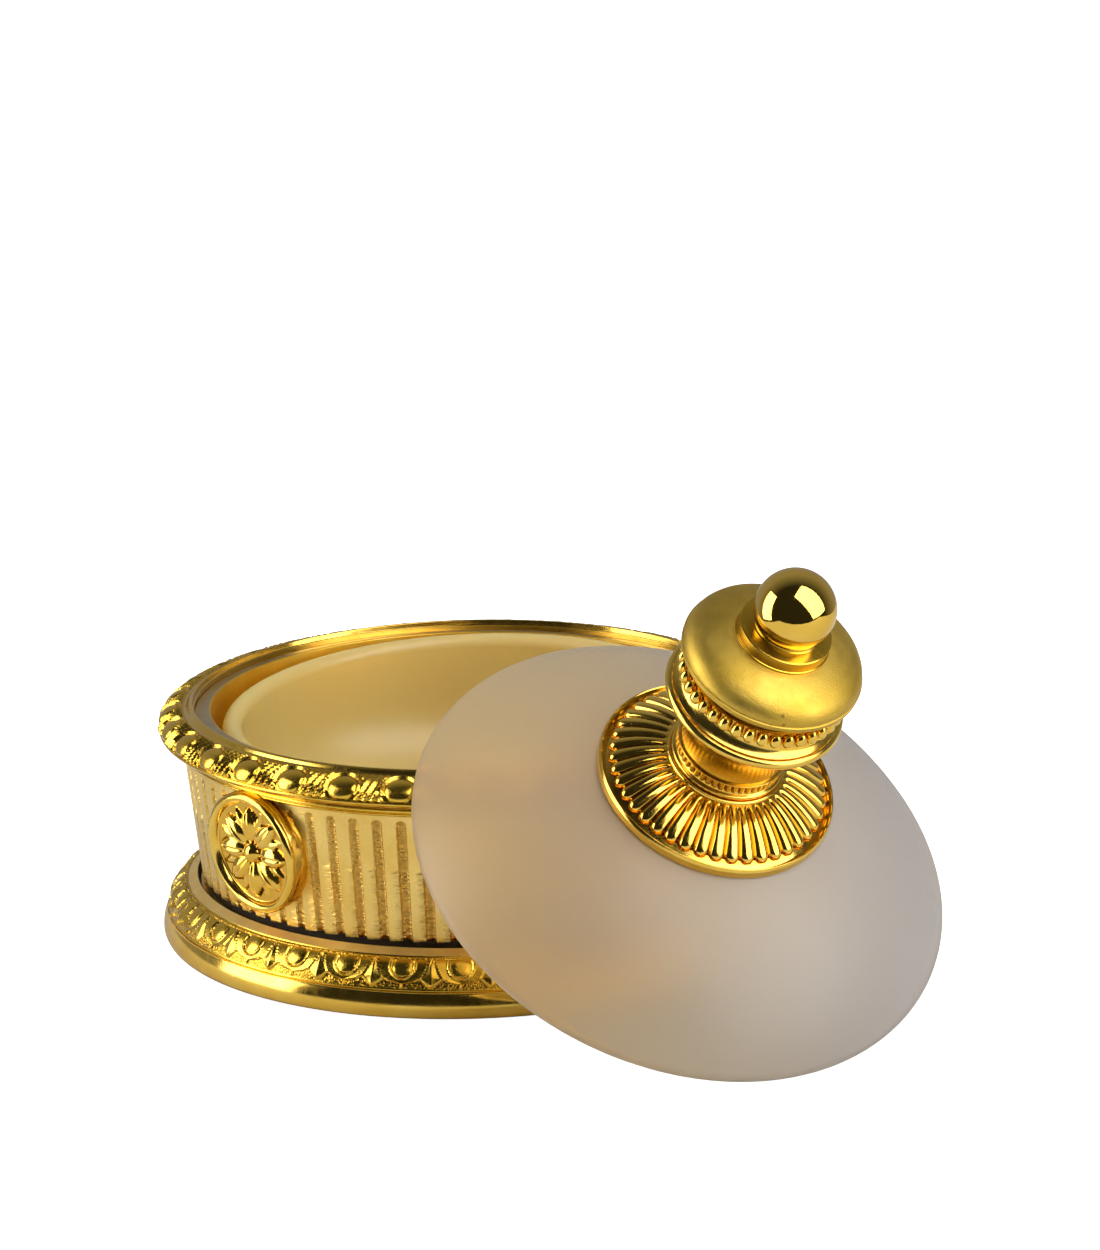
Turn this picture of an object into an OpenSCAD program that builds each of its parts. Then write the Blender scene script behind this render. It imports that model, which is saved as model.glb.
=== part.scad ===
// Covered vanity dish: a gilt dish with a frosted glass liner and a frosted glass lid.
// The dish stands on z = 0 with its axis on Z. The lid is off and leans on the rim.

/* [Dish] */
// Largest radius of the foot
foot_r = 60; // [59.8:0.1:60.4]
// Height of the drum's lower edge
drum_z = 12.7; // [12.6:0.05:12.75]
// Outer radius of the drum at its foot
drum_low_r = 52.1; // [52:0.1:52.2]
// Outer radius of the drum under the rim
drum_top_r = 54.9; // [54.8:0.1:55]
// Number of flutes round the drum
flutes = 74; // [60:1:80]
// Number of eggs round the foot
foot_eggs = 33; // [24:1:36]
// Number of eggs round the rim
rim_eggs = 33; // [24:1:36]
// Height of the ledge that the lid rests on when it is closed
ledge_z = 44.7; // [44.6:0.05:44.8]

/* [Medallions] */
// Radius of a medallion
medal_r = 11.9; // [11:0.1:12]
// Direction of the first medallion round the dish
medal_turn = 223; // [218:1:228]

/* [Liner] */
// Largest radius of the glass liner
liner_r = 47.1; // [46:0.1:47.4]
// Height of the middle of the liner's rounded lip
liner_z = 41.5; // [41:0.1:42]
// Wall thickness of the liner
liner_wall = 3.8; // [3:0.1:4]

/* [Lid] */
// Radius to the middle of the lid's rounded edge
lid_edge_r = 48.7; // [48.4:0.1:48.8]
// Outer radius of curvature of the glass dome
dome_r = 65.6; // [65.4:0.1:65.8]
// Thickness of the glass
glass_t = 3.5; // [3.2:0.1:3.6]
// Number of gadroons round the rosette
gadroons = 42; // [36:1:48]
// Number of pearls
pearls = 38; // [34:1:40]
// Number of reeds round the collar
reeds = 48; // [40:1:60]

/* [Lean] */
// How far the lid's axis tilts from upright
lean_tilt = 35.54; // [35.5:0.01:35.6]
// Direction that the lid's axis tilts towards
lean_turn = -60.75; // [-60.8:0.01:-60.7]
// Middle of the lid's lower face, X
lean_x = 37.39; // [37.35:0.01:37.43]
// Middle of the lid's lower face, Y
lean_y = -57.21; // [-57.25:0.01:-57.17]
// Middle of the lid's lower face, Z
lean_z = 28.67; // [28.66:0.01:28.7]

/* [Hidden] */
$fn = 96;
gap = 0.05;
brass = "#c9a03a";
satin = "#d8b860";
steel = "#b8b8bc";
frosted = "#cfc6bb";
soft = "#3a3a3a";

// Dish levels and radii
medallions = 4;
plate_r = 56.3;
plate_t = 1.4;
pad_t = 1.0;
plate_top = pad_t + plate_t;
foot_under = 0.3;
well_r = 10.6;
well_z = 4.6;
screw_r = 2.5;
screw_clear = 2.7;
head_z = pad_t + 0.4;
cup_in = 49.2;
cup_out = 50.0;
cup_floor_z = 9.6;
cup_floor_t = 1.5;
cup_floor_top = cup_floor_z + cup_floor_t;
flange_r = 52.2;
flange_t = 1.15;
flange_z = ledge_z - flange_t;
ledge_fall = 0.45;
boss_r = 7;
boss_z = well_z + plate_t;
bore_z = 10;
body_in = 50.2;
drum_in = 50.5;
drum_seat = 10.8;
drum_tongue_r = 51.0;
foot_top = 12.2;
drum_end = 40.2;
drum_slope = atan((drum_top_r - drum_low_r) / (drum_end - drum_z));
band_z = 5.5;
skirt_z = 39.1;
crest_z = 46.3;
medal_z = 27;
medal_face = 55;
pin_r = 0.8;
pin_rise = 6;
dot_r = 2.2;
dot_t = 0.9;
dot_ring = 30;

// Lid levels, measured from the lower face of the lid along its axis
mid_r = dome_r - glass_t / 2;
edge_h = glass_t / 2;
sphere_h = edge_h - sqrt(mid_r * mid_r - lid_edge_r * lid_edge_r);
seat_r = 10;
seat_h = dome_h(dome_r, seat_r);
under_seat_r = 9;
under_seat_h = dome_h(dome_r - glass_t, under_seat_r);
lid_bore = 4.2;
soft_t = 0.6;
stud_r = 2.5;
knob_bore = 2.7;
rosette_h = seat_h + soft_t;
rosette_r = 22;
collar_h = 29.4;
neck_h = 33.3;
plate_h = 44.0;
bead_h = 49.6;
cap_h = 52.4;
step_h = 62;
ball_seat = 65.2;
ball_h = 69.4;
ball_r = 7.25;
washer_t = 1.0;
washer_h = under_seat_h - soft_t - washer_t;
nut_h = washer_h - 4.6;
stud_low = nut_h + 1.2;
stud_top = ball_h - 0.8;

// Height of a sphere of radius r about the dome's centre, at radius x from the axis
function dome_h(r, x) = sphere_h + sqrt(r * r - x * x);
// Points of an arc about c, from angle a to angle b, squeezed by tall in height
function arc(c, r, a, b, n = 16, tall = 1) = [for (i = [0:n]) let (t = a + (b - a) * i / n)
    [c[0] + r * cos(t), c[1] + tall * r * sin(t)]];
// Radius of the drum's outside at height z
function drum_at(z) = drum_low_r + (drum_top_r - drum_low_r) * (z - drum_z) / (drum_end - drum_z);

module turned(points) { rotate_extrude() polygon(points); }

module ring(r_in, r_out, z0, z1) {
    turned([[r_in, z0], [r_out, z0], [r_out, z1], [r_in, z1]]);
}

module around(count, from = 0) {
    for (i = [0:count - 1]) rotate([0, 0, from + 360 * i / count]) children();
}

module leaning() {
    translate([lean_x, lean_y, lean_z]) rotate([0, 0, lean_turn]) rotate([0, lean_tilt, 0]) children();
}

// ---- dish ----
module foot_ring() {
    egg_r = 2.0;
    egg_at = 56.3;
    egg_z = band_z + 2.8;
    egg_turn = -103.4;
    recess_r = plate_r + 0.3;
    color(brass) union() {
        turned(concat(
            [[body_in, plate_top], [recess_r, plate_top], [recess_r, foot_under],
            [foot_r - 1.1, foot_under]],
            arc([foot_r - 1.9, 2.0], 1.9, -60, 0, 6), arc([foot_r - 7, 2.0], 7, 4, 29, 8),
            arc([51.47, 4.35], 7.72, 9, 54, 10),
            [[55.8, 10.7], [52.9, foot_top], [52.3, foot_top], [52.3, drum_seat],
            [body_in, drum_seat]]));
        around(foot_eggs, egg_turn) translate([egg_at, 0, egg_z]) sphere(egg_r, $fn = 24);
    }
}

module drum() {
    flute_r = 1.05;
    flute_low = drum_z + 0.5;
    flute_top = 36.6;
    flute_turn = -103.45;
    color(satin) difference() {
        turned([[drum_in, drum_seat], [drum_tongue_r, drum_seat], [drum_tongue_r, drum_z],
            [drum_low_r, drum_z], [drum_top_r, drum_end], [drum_in, drum_end]]);
        around(flutes, flute_turn) translate([drum_at(flute_low) + 0.4, 0, flute_low])
            rotate([0, drum_slope, 0]) cylinder(h = flute_top - flute_low, r = flute_r, $fn = 20);
        for (m = [0:medallions - 1]) at_medallion(m) pin_pair(drum_in - 1, pin_r + 0.03, 6);
    }
}

module at_medallion(m) {
    rotate([0, 0, medal_turn + 360 * m / medallions]) children();
}

module pin_pair(start, r, length) {
    for (s = [-1, 1]) translate([start, 0, medal_z + s * pin_rise]) rotate([0, 90, 0])
        cylinder(h = length, r = r, $fn = 24);
}

module rim_ring() {
    egg_r = 2.3;
    egg_at = 56.3;
    egg_z = 42.6;
    egg_turn = -102.6;
    color(brass) union() {
        turned(concat(
            [[body_in, drum_end], [55.2, drum_end], [55.2, skirt_z], [56.1, skirt_z], [56.3, 39.7]],
            [[56.1, 40.1], [57.9, 40.5]], arc([58.3, 41.2], 0.8, -70, 60, 6),
            arc([53.9, 41.7], 5.4, 5, 84, 12, 0.7),
            [[53.6, 45.6], [53.15, 46.05], [52.85, crest_z], [52.6, 46.2], [52.5, 45.3],
            [flange_r + 0.1, 45.2], [flange_r + 0.1, flange_z], [body_in, flange_z]]));
        around(rim_eggs, egg_turn) translate([egg_at, 0, egg_z]) sphere(egg_r, $fn = 24);
    }
}

module inner_sleeve() {
    color(brass) turned([[cup_in, cup_floor_z], [cup_out, cup_floor_z], [cup_out, flange_z],
        [flange_r, flange_z], [flange_r, ledge_z - ledge_fall], [cup_in + 0.3, ledge_z],
        [cup_in, ledge_z - 0.2]]);
}

module sleeve_floor() {
    floor_r = cup_in - gap / 2;
    color(brass) difference() {
        turned([[0, boss_z], [boss_r, boss_z], [boss_r, cup_floor_z], [floor_r, cup_floor_z],
            [floor_r, cup_floor_top], [0, cup_floor_top]]);
        translate([0, 0, boss_z - 1]) cylinder(h = bore_z - boss_z + 1, r = screw_r + gap / 2);
    }
}

module medallion(m) {
    petals = 8;
    petal_r = 2.1;
    border_r = 0.7;
    disc_t = 4;
    color(brass) difference() {
        at_medallion(m) translate([medal_face, 0, medal_z]) rotate([0, 90 + drum_slope, 0]) union() {
            translate([0, 0, -disc_t]) cylinder(h = disc_t, r = medal_r, $fn = 72);
            rotate_extrude($fn = 72) translate([medal_r - border_r, 0]) circle(border_r, $fn = 20);
            sphere(petal_r, $fn = 32);
            around(petals) translate([6, 0, -1.1]) sphere(petal_r, $fn = 24);
        }
        turned([[0, 0], [drum_at(0) + gap, 0], [drum_at(60) + gap, 60], [0, 60]]);
        at_medallion(m) pin_pair(drum_in - 1, pin_r + 0.03, 5);
    }
}

module medallion_pins() {
    color(steel) for (m = [0:medallions - 1]) at_medallion(m) pin_pair(drum_in - 0.2, pin_r, 4);
}

module base_plate() {
    color(steel) turned([[screw_clear, well_z], [well_r, well_z], [well_r, pad_t],
        [plate_r, pad_t], [plate_r, plate_top], [well_r + plate_t, plate_top],
        [well_r + plate_t, boss_z], [screw_clear, boss_z]]);
}

module lock_washer() {
    color(steel) ring(screw_clear, 5.4, well_z - 0.8, well_z);
}

module centre_screw() {
    slot_w = 1.2;
    color(steel) difference() {
        union() {
            translate([0, 0, head_z]) cylinder(h = well_z - 0.8 - head_z, r = 4.7);
            translate([0, 0, head_z + 0.5]) cylinder(h = bore_z - 0.4 - head_z - 0.5, r = screw_r);
        }
        translate([-slot_w / 2, -6, head_z - 1]) cube([slot_w, 12, 1.9]);
    }
}

module felt_pad() {
    color("#262420") cylinder(h = pad_t, r = plate_r - 0.6);
}

module liner_pads() {
    color(frosted) around(3, 90) translate([dot_ring, 0, cup_floor_top])
        cylinder(h = dot_t, r = dot_r, $fn = 32);
}

// ---- liner, which sits a little unevenly on its pads ----
module glass_liner() {
    tilt = [2.4, -1.3, 0];
    lip_r = liner_wall / 2;
    low = cup_floor_top + dot_t + 1.6 - liner_z;
    wall_out = liner_r - 0.4;
    wall_in = liner_r - liner_wall + 0.3;
    bend = 16;
    bend_in = 14;
    color(frosted) translate([0, 0, liner_z]) rotate(tilt) turned(concat(
        [[0, low]],
        arc([wall_out - bend, low + bend], bend, -90, 0, 12),
        arc([liner_r - lip_r, 0], lip_r, -20, 200, 16),
        arc([wall_in - bend_in, low + liner_wall + bend_in], bend_in, 0, -90, 12),
        [[0, low + liner_wall]]));
}

// ---- lid, drawn about its own axis ----
module glass_lid() {
    edge_a = atan2(edge_h - sphere_h, lid_edge_r);
    r_in = dome_r - glass_t;
    color(frosted) leaning() turned(concat(
        [[lid_bore, seat_h]],
        arc([0, sphere_h], dome_r, acos(seat_r / dome_r), edge_a, 24),
        arc([lid_edge_r, edge_h], glass_t / 2, edge_a, edge_a - 180, 16),
        arc([0, sphere_h], r_in, edge_a, acos(under_seat_r / r_in), 24),
        [[lid_bore, under_seat_h]]));
}

module upper_gasket() {
    color(soft) leaning() ring(lid_bore, 8.6, seat_h, seat_h + soft_t);
}

module lower_gasket() {
    color(soft) leaning() ring(lid_bore, 8.4, under_seat_h - soft_t, under_seat_h);
}

module rosette() {
    under_r = dome_r + 0.35;
    rib_r = 0.98;
    rib_l = 7.4;
    rib_slope = 27.3;
    color(brass) leaning() union() {
        turned(concat(
            [[knob_bore, rosette_h], [8.9, rosette_h]],
            arc([0, sphere_h], under_r, acos(9 / under_r), acos((rosette_r - 0.2) / under_r), 10),
            [[rosette_r, 22.9]], arc([rosette_r - 0.7, 23.6], 0.7, 0, 110, 6),
            [[20.7, 24.0], [20.3, 24.2]], arc([10.7, 17.4], 12, 37, 86, 10),
            [[11.2, collar_h], [knob_bore, collar_h]]));
        around(gadroons) translate([15.9, 0, 27.4]) rotate([0, rib_slope + 90, 0])
            translate([0, 0, -rib_l / 2]) cylinder(h = rib_l, r = rib_r, $fn = 20);
    }
}

module reeded_collar() {
    reed_r = 0.42;
    wall_r = 9.9;
    color(brass) leaning() difference() {
        turned([[knob_bore, collar_h], [10.6, collar_h], [10.6, collar_h + 0.6],
            [wall_r, collar_h + 0.8], [wall_r, neck_h], [knob_bore, neck_h]]);
        around(reeds) translate([wall_r + 0.1, 0, collar_h + 1.1])
            cylinder(h = neck_h - collar_h - 1.8, r = reed_r, $fn = 16);
    }
}

module neck() {
    color(satin) leaning() turned(concat(
        [[knob_bore, neck_h], [9.8, neck_h]],
        arc([20.5, 35], 11, 186, 124, 14),
        [[14.35, plate_h + 0.3], [knob_bore, plate_h + 0.3]]));
}

module bead_plate() {
    color(brass) leaning() turned(concat(
        [[knob_bore, plate_h + 0.3], [14.4, plate_h + 0.3]],
        arc([15.4, 46.2], 0.95, -65, 100, 10),
        arc([16.3, 49.9], 2.7, 246, 188, 8),
        [[knob_bore, bead_h]]));
}

module bead_ring() {
    band_r = 13.9;
    pearl_r = 1.12;
    color(brass) leaning() union() {
        ring(knob_bore, band_r, bead_h, cap_h);
        around(pearls) translate([band_r + 0.55, 0, (bead_h + cap_h) / 2]) sphere(pearl_r, $fn = 18);
    }
}

module cap_dome() {
    color(satin) leaning() turned(concat(
        [[knob_bore, cap_h]],
        arc([16.6, 52.5], 3.3, 180, 106, 8),
        [[16.35, 56.0]],
        arc([8.5, 57.3], 7.75, 0, 90, 16, 0.606),
        [[knob_bore, step_h]]));
}

module ball_collar() {
    color(brass) leaning() turned([[knob_bore, step_h], [8.4, step_h], [8.4, 64.2], [8.2, 64.4],
        [6.2, 64.8], [6.0, 64.95], [6.0, ball_seat], [knob_bore, ball_seat]]);
}

module ball_finial() {
    color(brass) leaning() difference() {
        translate([0, 0, ball_h]) sphere(ball_r, $fn = 64);
        translate([0, 0, ball_seat - 10]) cylinder(h = 10, r = 12);
        translate([0, 0, ball_seat - 10]) cylinder(h = stud_top - ball_seat + 10, r = stud_r + gap / 2);
    }
}

module threaded_stud() {
    color(steel) leaning() translate([0, 0, stud_low]) cylinder(h = stud_top - stud_low, r = stud_r);
}

module washer() {
    color(steel) leaning() ring(knob_bore, 7.4, washer_h, washer_h + washer_t);
}

module cap_nut() {
    color(brass) leaning() difference() {
        union() {
            translate([0, 0, nut_h + 1.4]) cylinder(h = washer_h - nut_h - 1.4, r = 4.8, $fn = 6);
            translate([0, 0, nut_h + 2.6]) sphere(3.4, $fn = 40);
        }
        translate([0, 0, stud_low]) cylinder(h = 20, r = stud_r + gap / 2);
        translate([0, 0, washer_h]) cylinder(h = 10, r = 10);
    }
}

foot_ring();
drum();
rim_ring();
inner_sleeve();
sleeve_floor();
medallion(0);  // medallion_1
medallion(1);  // medallion_2
medallion(2);  // medallion_3
medallion(3);  // medallion_4
medallion_pins();
base_plate();
centre_screw();
lock_washer();
felt_pad();
liner_pads();
glass_liner();
glass_lid();
upper_gasket();
lower_gasket();
rosette();
reeded_collar();
neck();
bead_plate();
bead_ring();
cap_dome();
ball_collar();
ball_finial();
threaded_stud();
washer();
cap_nut();
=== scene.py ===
"""Looks of the covered vanity dish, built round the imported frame.

Outlines, reliefs and the constants beside them are in millimetres. The camera, the floor and the lights are
placed in metres.
"""

import math

import bpy
import numpy as np
from mathutils import Matrix, Vector


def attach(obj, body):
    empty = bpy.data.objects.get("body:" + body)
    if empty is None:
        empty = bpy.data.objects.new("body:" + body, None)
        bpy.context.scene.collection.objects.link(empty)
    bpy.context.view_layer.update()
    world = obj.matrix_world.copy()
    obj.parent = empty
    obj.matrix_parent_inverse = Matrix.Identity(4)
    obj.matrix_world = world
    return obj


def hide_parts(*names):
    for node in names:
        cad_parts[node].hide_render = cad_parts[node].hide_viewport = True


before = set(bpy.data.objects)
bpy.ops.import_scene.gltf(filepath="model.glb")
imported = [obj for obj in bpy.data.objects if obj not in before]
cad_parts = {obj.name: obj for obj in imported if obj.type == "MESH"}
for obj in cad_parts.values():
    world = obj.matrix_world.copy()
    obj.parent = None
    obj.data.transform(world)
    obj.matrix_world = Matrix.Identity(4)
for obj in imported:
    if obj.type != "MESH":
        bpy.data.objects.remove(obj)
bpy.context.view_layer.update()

MM = 0.001
TAU = 2 * math.pi
TINY = 1e-6

# ---------------------------------------------------------------- camera
scene = bpy.context.scene
VIEW_DISTANCE, VIEW_LIFT = 0.95755, 0.3214
YAW, PITCH, ROLL = 0.01805, 0.26199, -0.0248
FOCAL_PX, LONG_SIDE_PX, SENSOR_MM = 4905.25, 1250, 36.0


def add_camera():
    """The camera that took the photo, worked out from the object's ellipses."""
    level = math.cos(PITCH)
    ahead = Vector((math.sin(YAW) * level, math.cos(YAW) * level, -math.sin(PITCH)))
    right = ahead.cross(Vector((0, 0, 1))).normalized()
    up = right.cross(ahead)
    right_rolled = right * math.cos(ROLL) + up * math.sin(ROLL)
    up_rolled = up * math.cos(ROLL) - right * math.sin(ROLL)
    turn = Matrix((right_rolled, up_rolled, -ahead)).transposed()
    data = bpy.data.cameras.new("camera")
    data.sensor_width = SENSOR_MM
    data.sensor_fit = "AUTO"
    data.lens = FOCAL_PX * SENSOR_MM / LONG_SIDE_PX
    data.clip_end = 20
    camera = bpy.data.objects.new("camera", data)
    place = Vector((0, -VIEW_DISTANCE * math.cos(VIEW_LIFT), VIEW_DISTANCE * math.sin(VIEW_LIFT)))
    camera.matrix_world = Matrix.Translation(place) @ turn.to_4x4()
    scene.collection.objects.link(camera)
    scene.camera = camera


add_camera()

# ---------------------------------------------------------------- lid frame, as in the CAD
LEAN_TILT, LEAN_TURN = math.radians(35.54), math.radians(-60.75)
LEAN = Matrix.Translation((37.39, -57.21, 28.67)) \
    @ Matrix.Rotation(LEAN_TURN, 4, "Z") @ Matrix.Rotation(LEAN_TILT, 4, "Y")
UPRIGHT = Matrix.Identity(4)

# ---------------------------------------------------------------- node materials
FACTOR, COLOUR_A, COLOUR_B = 0, 6, 7


class Nodes:
    """A node material under construction."""

    def __init__(self, name):
        self.mat = bpy.data.materials.new(name)
        self.mat.use_nodes = True
        self.tree = self.mat.node_tree
        self.tree.nodes.clear()
        self.out = self.add("ShaderNodeOutputMaterial")
        self.shader = self.add("ShaderNodeBsdfPrincipled")
        self.link(self.shader, "BSDF", self.out, "Surface")
        self.coords = self.add("ShaderNodeTexCoord")

    def add(self, kind, **values):
        node = self.tree.nodes.new(kind)
        for key, value in values.items():
            setattr(node, key, value)
        return node

    def link(self, a, out, b, into):
        self.tree.links.new(a.outputs[out], b.inputs[into])

    def set(self, **values):
        for key, value in values.items():
            self.shader.inputs[key.replace("_", " ")].default_value = value

    def noise(self, scale, detail=3.0, rough=0.55):
        node = self.add("ShaderNodeTexNoise")
        node.inputs["Scale"].default_value = scale
        node.inputs["Detail"].default_value = detail
        node.inputs["Roughness"].default_value = rough
        self.link(self.coords, "Object", node, "Vector")
        return node

    def cells(self, scale):
        node = self.add("ShaderNodeTexVoronoi", feature="F1")
        node.inputs["Scale"].default_value = scale
        self.link(self.coords, "Object", node, "Vector")
        return node

    def spread(self, source, out, low, high, to_low, to_high):
        """Maps low..high of a value to to_low..to_high, clamped."""
        node = self.add("ShaderNodeMapRange")
        for key, value in (("From Min", low), ("From Max", high), ("To Min", to_low), ("To Max", to_high)):
            node.inputs[key].default_value = value
        self.link(source, out, node, "Value")
        return node

    def mix(self, factor, out, a, b):
        """Blends two colours, or the outputs given as (node, name)."""
        node = self.add("ShaderNodeMix", data_type="RGBA")
        self.link(factor, out, node, FACTOR)
        for slot, value in ((COLOUR_A, a), (COLOUR_B, b)):
            if isinstance(value[0], bpy.types.Node):
                self.link(*value, node, slot)
            else:
                node.inputs[slot].default_value = (*value, 1)
        return node

    def math(self, kind, a, b):
        """Combines two outputs given as (node, name)."""
        node = self.add("ShaderNodeMath", operation=kind)
        self.link(*a, node, 0)
        self.link(*b, node, 1)
        return node

    def clouds(self, scale, detail, low, high, a, b):
        """Two colours in soft clouds."""
        return self.mix(self.spread(self.noise(scale, detail), "Fac", low, high, 0, 1), "Result", a, b)

    def specks(self, scale, size, strong, patch_scale, patch_edge, patch_strong):
        """Round specks, only in patches; size and patch_edge are (low, high) of the textures."""
        speck = self.spread(self.cells(scale), "Distance", *size, strong, 0)
        patch = self.spread(self.noise(patch_scale, 2), "Fac", *patch_edge, 0, patch_strong)
        return self.math("MULTIPLY", (speck, "Result"), (patch, "Result"))

    def uneven(self, scale, rough, change):
        """A roughness that wanders by change to either side."""
        wipe = self.spread(self.noise(scale, 4), "Fac", 0.3, 0.7, rough - change, rough + change)
        self.link(wipe, "Result", self.shader, "Roughness")

    def on_ground(self, texture, out):
        """The texture where the mesh attribute ground is 1."""
        return self.math("MULTIPLY", (texture, out), (self.attribute("ground"), "Fac"))

    def attribute(self, name):
        return self.add("ShaderNodeAttribute", attribute_name=name)

    def bump(self, height, out, depth_mm, under=None):
        node = self.add("ShaderNodeBump")
        node.inputs["Strength"].default_value = 1.0
        node.inputs["Distance"].default_value = depth_mm * MM
        self.link(height, out, node, "Height")
        if under:
            self.link(under, "Normal", node, "Normal")
        self.link(node, "Normal", self.shader, "Normal")
        return node


# the first colour tints gold in the hollows darker, as painted shade
GOLD_HOLLOW_SHADE, GOLD_SPECK, GLASS_SPECK = (0.82, 0.70, 0.52), (0.16, 0.075, 0.02), (0.60, 0.48, 0.32)
SPECK_ROUGHER = 0.3
CHATTER_SCALE = (500, 500, 2600)


def gold(name, light, dark, rough, grain, stipple=0.0, chatter=0.0):
    """Gold plate. rough is (low, high) and grain is (depth, scale); stipple and chatter are depths.

    The mesh attribute relief is 0 in the hollows and 1 on the heights; the hollows are painted darker as
    shade. The attribute ground is 1 where the plate is stippled or has chatter marks.
    """
    n = Nodes(name)
    n.set(Metallic=1.0)
    tone = n.clouds(110, 4, 0.35, 0.7, light, dark)
    # painted shade: where relief is low the tone is mixed towards a darker, deeper gold, for the shade in
    # the hollows
    hollow = n.spread(n.attribute("relief"), "Fac", 0.0, 0.55, 1, 0)
    deepest_shade = tuple(a * b for a, b in zip(dark, GOLD_HOLLOW_SHADE))
    shade = n.mix(hollow, "Result", (tone, "Result"), deepest_shade)
    mark = n.specks(260, (0.05, 0.11), 1, 55, (0.56, 0.66), 0.8)
    n.link(n.mix(mark, "Value", (shade, "Result"), GOLD_SPECK), "Result", n.shader, "Base Color")
    wipe = n.spread(n.noise(420, 5), "Fac", 0.3, 0.75, *rough)
    dirt = n.spread(mark, "Value", 0, 1, 0, SPECK_ROUGHER)
    n.link(n.math("ADD", (wipe, "Result"), (dirt, "Result")), "Value", n.shader, "Roughness")
    depth, scale = grain
    last = n.bump(n.noise(scale, 3, 0.6), "Fac", depth)
    if stipple:
        punches = n.spread(n.cells(2300), "Distance", 0.1, 0.6, 0, 1)
        last = n.bump(n.on_ground(punches, "Result"), "Value", stipple, under=last)
    if chatter:
        squash = n.add("ShaderNodeMapping")
        squash.inputs["Scale"].default_value = CHATTER_SCALE
        n.link(n.coords, "Object", squash, "Vector")
        ticks = n.add("ShaderNodeTexNoise")
        ticks.inputs["Scale"].default_value = 1.0
        ticks.inputs["Detail"].default_value = 2.0
        n.link(squash, "Vector", ticks, "Vector")
        n.bump(n.on_ground(ticks, "Fac"), "Value", chatter, under=last)
    return n.mat


def frosted(name, colour, colour_two, clear, rough, painted_gold_light=None):
    """Frosted glass. The optional last argument paints light: a glow of the dish's gold through the glass,
    given as a colour and the two X positions, in metres, between which it fades away.
    """
    n = Nodes(name)
    n.set(IOR=1.47, Transmission_Weight=clear)
    tone = n.clouds(28, 3, 0.3, 0.7, colour, colour_two)
    # painted light: one side of the glass is tinted towards gold, for the dish's gold light shining through
    # it
    if painted_gold_light:
        painted_light_colour, full_x, gone_x = painted_gold_light
        place = n.add("ShaderNodeSeparateXYZ")
        n.link(n.coords, "Object", place, "Vector")
        tone = n.mix(n.spread(place, "X", full_x, gone_x, 1, 0), "Result", (tone, "Result"), painted_light_colour)
    mark = n.specks(140, (0.03, 0.06), 0.6, 60, (0.60, 0.70), 0.5)
    n.link(n.mix(mark, "Value", (tone, "Result"), GLASS_SPECK), "Result", n.shader, "Base Color")
    n.uneven(900, rough, 0.05)
    n.bump(n.noise(5200, 2, 0.7), "Fac", 0.012)
    return n.mat


def plain(name, colour, colour_two, rough, metallic=0.0, grain=(0.02, 2500), weave=0.0):
    """A simple surface. grain is (depth, scale) and weave is the depth of the fibres."""
    n = Nodes(name)
    n.set(Metallic=metallic)
    n.link(n.clouds(180, 4, 0.3, 0.7, colour, colour_two), "Result", n.shader, "Base Color")
    n.uneven(700, rough, 0.08)
    depth, scale = grain
    last = n.bump(n.noise(scale, 4, 0.7), "Fac", depth)
    if weave:
        n.bump(n.noise(9000, 2), "Fac", weave, under=last)
    return n.mat


GOLD_PAIR = (0.90, 0.60, 0.115), (0.82, 0.50, 0.07)
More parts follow.
